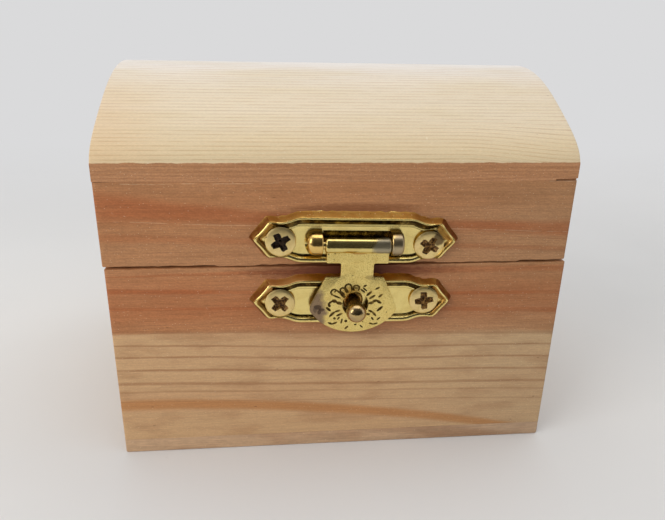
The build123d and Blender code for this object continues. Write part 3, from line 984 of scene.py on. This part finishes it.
def wooden_box():
    base_cut, lid_cut = (base_top, -1), (lid_bottom, 1)
    board("bottom_panel", 0, bottom_pine, "base")
    board("base_front_panel", 0, front_pine, "base", base_cut)
    board("base_back_panel", 0, back_pine, "base", base_cut)
    board("lid_front_panel", 0, front_pine, "lid", lid_cut)
    board("lid_back_panel", 0, back_pine, "lid", lid_cut)
    under = arch(-inner_y, wall_top, arch_underside)
    for side in ("left", "right"):
        board("base_" + side + "_panel", 1, side_pine, "base", base_cut)
        profile = [(inner_y, lid_bottom)] + under + [(-inner_y, lid_bottom)]
        arched("lid_" + side + "_end", profile, side_pine, joint_easing)
    over = arch(back_y, shoulder, crest, arch_fullness)
    profile = [(front_y, wall_top)] + over + [(back_y, wall_top)] + under[::-1]
    top = arched("lid_top_panel", profile, top_pine, shoulder_easing)
    open_edit(top)
    bpy.ops.mesh.quads_convert_to_tris(quad_method="FIXED", ngon_method="CLIP")
    close_edit()
    for x, tall, lean in glue_gaps:
        size = (glue_gap_length, glue_gap_depth, tall)
        gap = start_cube((x, front_y, wall_top), size, rotation=(0, math.radians(lean), 0))
        combine(top, coat(gap, top_pine))


wooden_box()


# Where the hasp's halves sit
upper_place = Matrix.Translation((hasp_x, front_y, upper_plate_z)) @ turned_by(upper_tilt, "Y")
lower_place = Matrix.Translation((lower_plate_x, front_y, lower_plate_z)) @ turned_by(lower_tilt, "Y")
outward = turned_by(90, "X")


def screw_place(plate_place, side, drop, turn, tip):
    """Where a screw goes on a plate: its own Z points out of the wood."""
    seat = Matrix.Translation((side * hasp_screw_offset, -hasp_screw_height, -drop * mm))
    return plate_place @ seat @ turned_by(90 + tip, "X") @ turned_by(turn, "Z")


def seat_cutter(place):
    """The countersunk hole of one screw, as a cutting piece."""
    return put_in_place(turned(seat_profile, 40), place)


# Hasp plates

def plate_ring(grow, height, low_height=None):
    """The plate's outline, larger by grow, at a height in front of the wood, or at two heights."""
    low_height = height if low_height is None else low_height
    grow = grow * mm
    tip = (plate_tip + grow * tip_grow_share, 0)
    corner = (plate_corner[0] + grow * corner_grow_share, plate_corner[1] + grow * corner_grow_share)
    top = (plate_shoulder[0], plate_shoulder[1] + grow)
    half = [tip, corner, top, (-top[0], top[1]), (-corner[0], corner[1]), (-tip[0], 0)]
    corners = half + [(-x, -z) for x, z in half[1:-1]]
    hollows = [tip_hollow, scallop_hollow, 0, scallop_hollow, tip_hollow] * 2
    points = []
    for index, hollow in enumerate(hollows):
        begin, end = Vector(corners[index]), Vector(corners[(index + 1) % len(corners)])
        inward = (end - begin).orthogonal().normalized()
        steps = side_steps if hollow else top_steps
        for step in range(steps):
            share = step / steps
            points.append(begin.lerp(end, share) + inward * hollow * 4 * share * (1 - share))
    count = len(points)
    for turn in range(2):
        points = [(points[i - 1] + points[i] * 3 + points[(i + 1) % count]) / 5 for i in range(count)]
    ring = []
    for point in points:
        share = min(max(0.5 + point.y / plate_blend, 0), 1)
        wear = noise.noise(Vector((point.x / mm * 1.5, point.y / mm * 0.7, 4))) * skirt_wear
        wear *= max(0, 1 - height / 0.5)
        ring.append(Vector((point.x, -(low_height + (height - low_height) * share) * mm, point.y + wear)))
    return ring


def pressed_plate():
    """A plate pressed from sheet, with a raised and rounded border and a flat field."""
    plate = skin([plate_ring(*step) for step in plate_front + plate_back])
    coat(plate, plate_brass, painted_shade_brass, skirt_brass, tip_reflection_brass)
    for face in plate.data.polygons:
        middle, facing = face.center, face.normal
        at_tip = abs(middle.x) > tip_slope_x
        share = 1.0 if at_tip else 0.3
        leaning = math.copysign(share, middle.x) * facing.x + math.copysign(1, middle.z) * facing.z
        # Inner slopes of the border take the painted dark brass, except on the lower side near the crest,
        # where they stay plain, and at the tips, where they take the skirt's brass.
        if facing.y < -0.2 and middle.y < -slope_height and leaning < -0.15:
            lower_slope = middle.z < 0 and middle.y < -crest_height
            face.material_index = 2 if at_tip else 0 if lower_slope else 1
        # Outer skirts take the skirt's brass, and at the tips the darker brass of painted reflection.
        if -0.75 < facing.y < -0.2 and leaning > 0.2:
            face.material_index = 3 if abs(middle.x) > tip_skirt_x else 2
    return plate


def pin_loop(side):
    """One pressed-out loop of the upper plate: an arch over the pin, rounded at its outer end."""
    crown = arc_between(*loop_section, 28) + [loop_section[2]]
    (_, foot), (middle, _), _ = loop_section
    radius = loop_rounding[side]
    inner = loop_inner[side]
    steps = [(inner, 0.93), (inner + 0.05 * mm, 0.975), (inner + 0.14 * mm, 1.0)]
    for index in range(9):
        angle = math.pi / 2 * index / 8
        end = loop_ends[side] - radius * (1 - math.sin(angle))
        steps.append((end, 1 - radius * (1 - math.cos(angle)) / loop_reach))
    rings = []
    for x, share in steps:
        rings.append([
            Vector((side * x, -(foot + (out - foot) * share), (middle + (z - middle) * share) - pin_drop))
            for z, out in crown])
    return coat(skin(rings), loop_brass)


def pin_rod(radius, half_length, shift=0, sides=36):
    """A rod on the pin's axis."""
    return start(
        bpy.ops.mesh.primitive_cylinder_add, vertices=sides, radius=radius, depth=2 * half_length,
        location=(shift, -pin_height, -pin_drop), rotation=(0, math.radians(90), 0))


def mounted(plate, place, screw_rows, node, body):
    """A plate in its place, with the holes of its screws."""
    put_in_place(plate, place)
    for row in screw_rows.values():
        combine(plate, seat_cutter(screw_place(place, *row)))
    return dress(smooth(plate, 28), node, plate_brass, body)


def upper_plate():
    """The plate on the lid, with a shallow slot above the barrel and a loop at each end of the pin."""
    plate = pressed_plate()
    slot_size = (loop_inner[-1] + loop_inner[1], slot_depth, slot_height)
    # The slot's walls take the painted dark brass: painted shade in the slot above the barrel.
    combine(plate, coat(start_cube((slot_shift, -field_height, slot_z), slot_size), painted_shade_brass))
    for side in (-1, 1):
        combine(plate, pin_loop(side), "UNION")
    combine(plate, pin_rod(pin_radius + loop_clearance, loop_outer + mm))
    return mounted(plate, upper_place, upper_screws, "hasp_upper_plate", "lid")


def hasp_pin():
    rod = pin_rod(pin_radius, loop_outer - 0.1 * mm)
    open_edit(rod)
    ease(rod, sharp, pin_easing, 3)
    close_edit()
    put_in_place(rod, upper_place)
    return dress(smooth(rod), "hasp_pin", hinge_brass, "lid")


upper_plate()
mounted(pressed_plate(), lower_place, lower_screws, "hasp_lower_plate", "base")
hasp_pin()


# Tongue

def rounded_corner(before, corner, after, radius, steps=6):
    """A round instead of a corner of an outline."""
    before, corner, after = Vector(before), Vector(corner), Vector(after)
    one, two = (before - corner).normalized(), (after - corner).normalized()
    half = one.angle(two) / 2
    run = radius / math.tan(half)
    begin, end = corner + one * run, corner + two * run
    points = []
    for step in range(steps + 1):
        share = step / steps
        points.append(begin.lerp(corner, share).lerp(corner.lerp(end, share), share))
    return [tuple(point) for point in points]


def tongue_outline():
    """The flat part: a wide top, a neck, and a shield-shaped disc with a round foot."""
    def corners(side):
        return [
            (side * tongue_half_width, -pin_drop), (side * tongue_half_width, tongue_step),
            (side * neck_half_width, tongue_step), (side * neck_half_width, disc_top),
            (side * disc_half_top - disc_shift, disc_top), (side * disc_half_width - disc_shift, disc_bulge)]

    right, left = corners(1), corners(-1)
    foot = arc_between(right[5], (-disc_shift, disc_foot), left[5], 44)
    rounds = list(enumerate((0.15 * mm, 0.3 * mm, 0.3 * mm, 0.35 * mm), 1))
    points = [right[0]]
    for index, radius in rounds:
        points += rounded_corner(right[index - 1], right[index], right[index + 1], radius)
    points += rounded_corner(right[4], right[5], foot[6], disc_corner, 10)
    points += foot[6:-6]
    points += rounded_corner(foot[-7], left[5], left[4], disc_corner, 10)
    for index, radius in rounds[::-1]:
        points += rounded_corner(left[index + 1], left[index], left[index - 1], radius)
    return points + [left[0]]


def stroke(begin, end, width=0.26, depth=0.15):
    """One stroke of the graver, as a cutting piece: places are from the hole, in millimetres."""
    (x1, z1), (x2, z2) = begin, end
    angle = math.atan2(z2 - z1, x2 - x1)
    length = math.hypot(x2 - x1, z2 - z1) + width * 0.6
    piece = start(bpy.ops.mesh.primitive_uv_sphere_add, segments=10, ring_count=6, radius=1)
    piece.scale = (length / 2 * mm, depth * mm, width / 2 * mm)
    piece.rotation_euler = (0, -angle, 0)
    piece.location = (tongue_shift + (x1 + x2) / 2 * mm, -tongue_front, hole_z + (z1 + z2) / 2 * mm)
    return settled(piece)


def petal(angle, near, far, half, width=0.3):
    """A petal that opens to the hole: two sides and a round end, made of short strokes."""
    out = Vector((math.cos(math.radians(angle)), math.sin(math.radians(angle))))
    across = Vector((-out.y, out.x))
    spots = [(near, -0.6), (far - half, -1.0), (far - 0.3 * half, -0.75), (far, 0.0),
             (far - 0.3 * half, 0.75), (far - half, 1.0), (near, 0.6)]
    points = [out * reach + across * half * side for reach, side in spots]
    return [stroke(begin, end, width) for begin, end in zip(points, points[1:])]


def engraving():
    """A traditional flower round the hole: petals, rays, and leaves."""
    cuts = []
    for angle, near, far, half in ((149, 2.5, 4.35, 0.5), (131, 2.35, 3.5, 0.36), (113, 2.3, 3.6, 0.48),
                                   (90, 2.3, 3.15, 0.5)):
        cuts += petal(angle, near, far, half)
    lines = (
        ((-2.4, 1.95), (-1.5, 1.0), 0.34), ((0.7, 2.5), (1.35, 1.95), 0.2),
        ((1.0, 2.75), (1.6, 2.2), 0.2), ((1.1, 2.95), (1.5, 3.15), 0.24),
        ((1.65, 1.45), (2.35, 2.1), 0.3), ((2.1, 0.95), (2.9, 1.5), 0.28),
        ((2.95, 2.5), (3.5, 2.8), 0.24), ((3.5, 1.2), (4.0, 1.65), 0.26),
        ((2.1, 0.2), (2.65, 0.28), 0.36), ((2.65, 0.45), (3.2, 0.68), 0.34),
        ((3.2, 0.68), (3.9, 0.2), 0.32), ((4.15, -0.4), (3.4, -1.1), 0.32),
        ((-2.1, 0.12), (-2.85, 0.32), 0.38), ((-2.95, 0.5), (-3.5, 0.62), 0.42),
        ((-3.55, 0.55), (-4.1, 0.1), 0.26), ((-4.1, 0.1), (-3.85, -0.35), 0.3),
        ((-4.4, -0.5), (-3.75, -1.05), 0.3), ((-2.3, -0.95), (-3.1, -1.25), 0.24),
        ((-3.1, -1.25), (-3.85, -2.0), 0.3), ((-1.95, -1.5), (-2.75, -1.9), 0.28),
        ((-3.15, -2.25), (-3.0, -2.4), 0.3), ((-4.0, -3.05), (-3.4, -3.3), 0.24),
        ((-3.4, -3.3), (-2.7, -3.0), 0.24), ((-2.6, -2.5), (-2.35, -2.1), 0.2),
        ((2.1, -1.0), (2.7, -1.3), 0.26), ((2.7, -1.3), (3.25, -1.9), 0.26),
        ((1.75, -1.6), (2.25, -1.65), 0.3), ((2.6, -2.2), (2.9, -2.6), 0.22),
        ((2.3, -3.15), (2.9, -3.35), 0.2), ((2.9, -3.35), (3.6, -3.15), 0.2),
        ((3.5, -2.6), (3.9, -2.2), 0.2), ((-1.4, -2.7), (-1.25, -2.85), 0.34),
        ((-1.9, -2.4), (-2.05, -3.2), 0.2), ((-0.95, -3.65), (-1.4, -4.1), 0.24),
        ((0.9, -3.5), (1.3, -3.9), 0.18), ((0.0, -3.45), (0.35, -3.3), 0.18),
        ((-0.3, 2.7), (0.3, 2.7), 0.16), ((-3.0, 2.3), (-3.3, 2.0), 0.16),
    )
    for begin, end, width in lines:
        cuts.append(stroke(begin, end, width * 1.4))
    return joined(cuts)


def tongue():
    """The tongue: a barrel rolled round the pin, a neck, and the engraved disc with its hole."""
    points = [Vector((tongue_shift + x, -tongue_back, z)) for x, z in tongue_outline()]
    sheet = coat(slab(points, y_axis * (tongue_back - tongue_front)), tongue_brass)
    open_edit(sheet)
    ease(sheet, lambda e: sharp(e) and abs(e.verts[0].co.y - e.verts[1].co.y) < 0.01 * mm, tongue_easing, 3)
    close_edit()
    barrel = coat(pin_rod(barrel_radius, barrel_half_length, barrel_shift, 56), barrel_brass)
    open_edit(barrel)
    ease(barrel, sharp, barrel_easing, 6)
    close_edit()
    for vertex in barrel.data.vertices:
        out, up = -vertex.co.y - pin_height, vertex.co.z + pin_drop
        turn = math.atan2(up, out) - math.radians(barrel_lean)
        if out > 0 and math.hypot(out, up) > 0.3 * mm:
            grow = abs(math.cos(turn)) ** barrel_squareness + abs(math.sin(turn)) ** barrel_squareness
            grow = grow ** (-1 / barrel_squareness)
            vertex.co.y = -pin_height - out * grow
            vertex.co.z = up * grow - pin_drop
    combine(sheet, barrel, "UNION")
    combine(sheet, pin_rod(pin_radius + barrel_clearance, loop_outer))
    hole = start(
        bpy.ops.mesh.primitive_cylinder_add, vertices=64, radius=hole_radius, depth=4 * mm,
        location=(tongue_shift, -tongue_front, hole_z), rotation=(math.radians(90), 0, 0))
    combine(sheet, coat(hole, dark_brass))
    combine(sheet, coat(engraving(), dark_brass), "DIFFERENCE", True)
    put_in_place(sheet, upper_place)
    return dress(smooth(sheet, 30), "hasp_tongue", tongue_brass, "tongue")


def stud():
    """The stud: a foot, a stem and a ball."""
    profile = list(stud_profile)
    step = math.acos(stud_profile[-1][0] / ball_radius)
    for index in range(ball_steps + 1):
        angle = -step + (step + math.pi / 2) * index / ball_steps
        profile.append((ball_radius * math.cos(angle) if index < ball_steps else 0.0,
                        ball_height + ball_radius * math.sin(angle)))
    piece = coat(turned(profile, 48), stud_brass, ball_brass)
    for face in piece.data.polygons:
        face.material_index = int(face.center.z > ball_foot * mm)
    put_in_place(piece, lower_place @ outward)
    return dress(smooth(piece), "hasp_stud", stud_brass, "base")


stud_brass = brass("stud_brass", "B98F4C", 0.25, 0.15, (), 0.7)
ball_brass = brass("ball_brass", "BCA275", 0.16, 0.35, (), 0.8)
tongue()
stud()


# Screws

def recess_arm(turn, depth):
    """One arm of the driver's recess, as a cutting piece: a ragged slot that narrows with its depth."""
    corners = [Vector(corner) for corner in ((-1, -1), (1, -1), (1, 1), (-1, 1))]
    rings = []
    for z, share in ((depth, 1.0), (0.0, 1.0), (-0.5 * depth, 0.83), (-depth, 0.65)):
        ring = []
        for index, steps in enumerate((8, 4, 8, 4)):
            begin, end = corners[index], corners[(index + 1) % 4]
            outwards = Vector((end.y - begin.y, begin.x - end.x)).normalized()
            for step in range(steps):
                spot = begin.lerp(end, step / steps)
                blunt = 1 - 0.2 * abs(spot.x) ** 4
                spot = Vector((spot.x * recess_reach, spot.y * recess_half_width * blunt))
                wear = noise.noise(Vector((spot.x, spot.y, z)) / mm * 2.1 + Vector((turn, 1, 2)))
                spot = (spot + outwards * wear * recess_fray) * share
                ring.append(Vector((spot.x, spot.y, z)))
        rings.append(ring)
    return put_in_place(coat(skin(rings), recess_grime), turned_by(turn, "Z"))


def screw_model():
    """One countersunk screw: its axis is Z, and the top of its head is at zero."""
    profile = list(head_profile)
    height = -head_profile[-1][1]
    while height + thread_pitch < thread_end:
        profile.append((thread_root, -height))
        profile.append((thread_crest, -height - thread_pitch / 2))
        height += thread_pitch
    profile += [(thread_root, -height), (0.0, -screw_length)]
    screw = coat(turned(profile, 40), screw_brass)
    for turn, depth in ((0, recess_depth), (90, 0.9 * recess_depth)):
        combine(screw, recess_arm(turn, depth))
    middle = (recess_core_rise - recess_core_depth) / 2
    core = start(
        bpy.ops.mesh.primitive_cone_add, vertices=20, radius1=recess_core_tip, radius2=recess_core,
        depth=recess_core_depth + recess_core_rise, location=(0, 0, middle))
    return smooth(combine(screw, coat(core, recess_grime)), 40)


def back_place(x, z):
    """Where a hinge screw goes: its head faces backwards."""
    return Matrix.Translation((x, back_y + hinge_screw_top, z)) @ turned_by(-90, "X")


def screws():
    model = screw_model()
    for rows, plate_place, body in ((upper_screws, upper_place, "lid"), (lower_screws, lower_place, "base")):
        for node, spot in rows.items():
            piece = put_in_place(copied(model), screw_place(plate_place, *spot))
            if node == "hasp_screw_upper_left":
                for slot in piece.material_slots:
                    slot.material = recess_darker if slot.material == recess_grime else slot.material
            dress(piece, node, screw_brass, body)
    for side, hinge_x in (("left", -hinge_offset), ("right", hinge_offset)):
        for leaf, up, body in (("lid", 1, "lid"), ("base", -1, "base")):
            pair = []
            for end in (-1, 1):
                place = back_place(hinge_x + end * hinge_screw_spread, hinge_z + up * hinge_screw_height)
                turn = Matrix.Rotation(0.7 + end * 0.9 + up * 0.4 + hinge_x / mm, 4, "Z")
                pair.append(put_in_place(copied(model), place @ turn @ Matrix.Diagonal((0.94, 0.94, 1, 1))))
            node = side + "_hinge_" + leaf + "_screws"
            dress(joined(pair), node, screw_brass, body)
    bpy.data.objects.remove(model)


screws()


# Hinges

def hinge_piece(node, body):
    """A hinge leaf or pin, from its node's own mesh with its edges eased."""
    piece = copied(nodes[node])
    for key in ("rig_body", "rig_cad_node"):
        if key in piece:
            del piece[key]
    piece.parent = None
    piece.data.materials.clear()
    open_edit(piece)
    bpy.ops.mesh.remove_doubles(threshold=weld_distance)
    bpy.ops.mesh.dissolve_limited(angle_limit=math.radians(1))
    ease(piece, lambda e: sharp(e, 60), hinge_easing, 2, clamp_overlap=True)
    close_edit()
    return dress(smooth(piece, 40), node, hinge_brass, body)


for side in ("left", "right"):
    hinge_piece(side + "_hinge_lid_leaf", "lid")
    hinge_piece(side + "_hinge_base_leaf", "base")
    hinge_piece(side + "_hinge_pin", "base")


# Stage, lights and camera

def stage_material(name, floor_colour, wall_colour):
    """Paper that is a plain pale floor near the box, and an evenly bright wall behind it."""
    look, place = new_look(name)
    mottled = look.cloud(place, (0.012, 0.012, 0.012), 3.0)
    low = tuple(part * 0.965 for part in tone(floor_colour)[:3]) + (1.0,)
    paper = look.mix(look.ramp(mottled, 0.35, 0.7), low, tone(floor_colour))
    dust = look.dots(place, (0.11, 0.11, 0.11), 0.055, 0.35, (1, 2, 0))
    paper = look.mix(look.times(dust, 0.12), paper, tone("8A8078"))
    look.surface(Base_Color=paper, Roughness=0.9, Specular_IOR_Level=0.1)
    behind = look.ramp(look.split(place)[1], 20.0, 260.0)
    far = look.node("VectorMath", {0: place}, operation="LENGTH").outputs["Value"]
    behind = look.larger(behind, look.ramp(far, 350.0, 900.0))
    glow = look.node("Emission", {"Color": tone(wall_colour)})
    inputs = {0: look.times(look.seen(), behind), 1: look.shader.outputs[0], 2: glow.outputs[0]}
    look.give(look.tree.nodes["Material Output"].inputs[0], look.node("MixShader", inputs).outputs[0])
    return look.material


def sweep():
    """The floor, which curves up into a backdrop behind the box."""
    bend, behind, wide, near, tall = 0.35, 0.4, 2.4, -2.0, 1.6
    points = [Vector((-wide, near, 0)), Vector((-wide, behind, 0))]
    for step in range(1, 17):
        angle = math.pi / 2 * step / 16
        points.append(Vector((-wide, behind + bend * math.sin(angle), bend * (1 - math.cos(angle)))))
    points.append(Vector((-wide, behind + bend, tall)))
    mesh = bpy.data.meshes.new("floor")
    rows = points + [point + x_axis * 2 * wide for point in points]
    count = len(points)
    faces = [(i, i + count, i + count + 1, i + 1) for i in range(count - 1)]
    mesh.from_pydata(rows, [], faces)
    floor = bpy.data.objects.new("floor", mesh)
    bpy.context.scene.collection.objects.link(floor)
    floor.data.materials.append(stage_material("floor_paper", "E5E3E0", "DADADB"))
    smooth(floor, 60)


def lamp(name, place, target, size, power, colour=(1, 1, 1)):
    light = bpy.data.lights.new(name, "AREA")
    light.size = size
    light.energy = power
    light.color = colour
    holder = bpy.data.objects.new(name, light)
    bpy.context.scene.collection.objects.link(holder)
    holder.location = place
    holder.rotation_euler = (Vector(place) - Vector(target)).to_track_quat("Z", "Y").to_euler()
    return holder


def dark_card():
    """A dark card on the camera's side, which only the polished metal mirrors, as dark lines."""
    card = start(
        bpy.ops.mesh.primitive_plane_add, size=1, location=(0, -0.2, 0.056),
        rotation=(math.radians(90), 0, 0), scale=(0.4, 0.1, 1))
    card.name = "dark_card"
    look, place = new_look("dark_card")
    look.surface(Base_Color=(0.03, 0.028, 0.026, 1))
    coat(card, look.material)
    card.visible_camera = False
    card.visible_diffuse = False
    card.visible_shadow = False


def lights():
    world = bpy.context.scene.world or bpy.data.worlds.new("world")
    bpy.context.scene.world = world
    world.use_nodes = True
    look = Look(world.node_tree)
    background = look.tree.nodes["Background"].inputs
    seen = look.seen()
    strength = look.times_plus(seen, sky_mirrored, sky_light)
    strength = look.times_plus(look.node("LightPath", {}).outputs["Is Camera Ray"], sky_straight, strength)
    look.give(background["Color"], look.mix(seen, (0.9, 0.94, 1.0, 1.0), (0.95, 0.96, 1.0, 1.0)))
    look.give(background["Strength"], strength)
    lamp("key_light", (0.08, 0.16, 0.75), (0, 0, 0.04), 0.8, 2.1, (1.0, 0.98, 0.95))
    lamp("fill_light", (-0.3, -0.22, 0.2), (0, 0, 0.03), 0.25, 0.6, (1.0, 0.97, 0.93))
    dark_card()


def camera():
    data = bpy.data.cameras.new("camera")
    data.lens = camera_lens
    data.sensor_width = sensor_width
    data.clip_start = 0.005
    data.clip_end = 20
    holder = bpy.data.objects.new("camera", data)
    bpy.context.scene.collection.objects.link(holder)
    aim = turned_by(-camera_yaw, "Z") @ turned_by(90 - camera_pitch, "X") @ turned_by(camera_roll, "Z")
    holder.matrix_world = Matrix.Translation(camera_place) @ aim
    bpy.context.scene.camera = holder


sweep()
lights()
camera()
bpy.context.scene.view_settings.view_transform = "Standard"
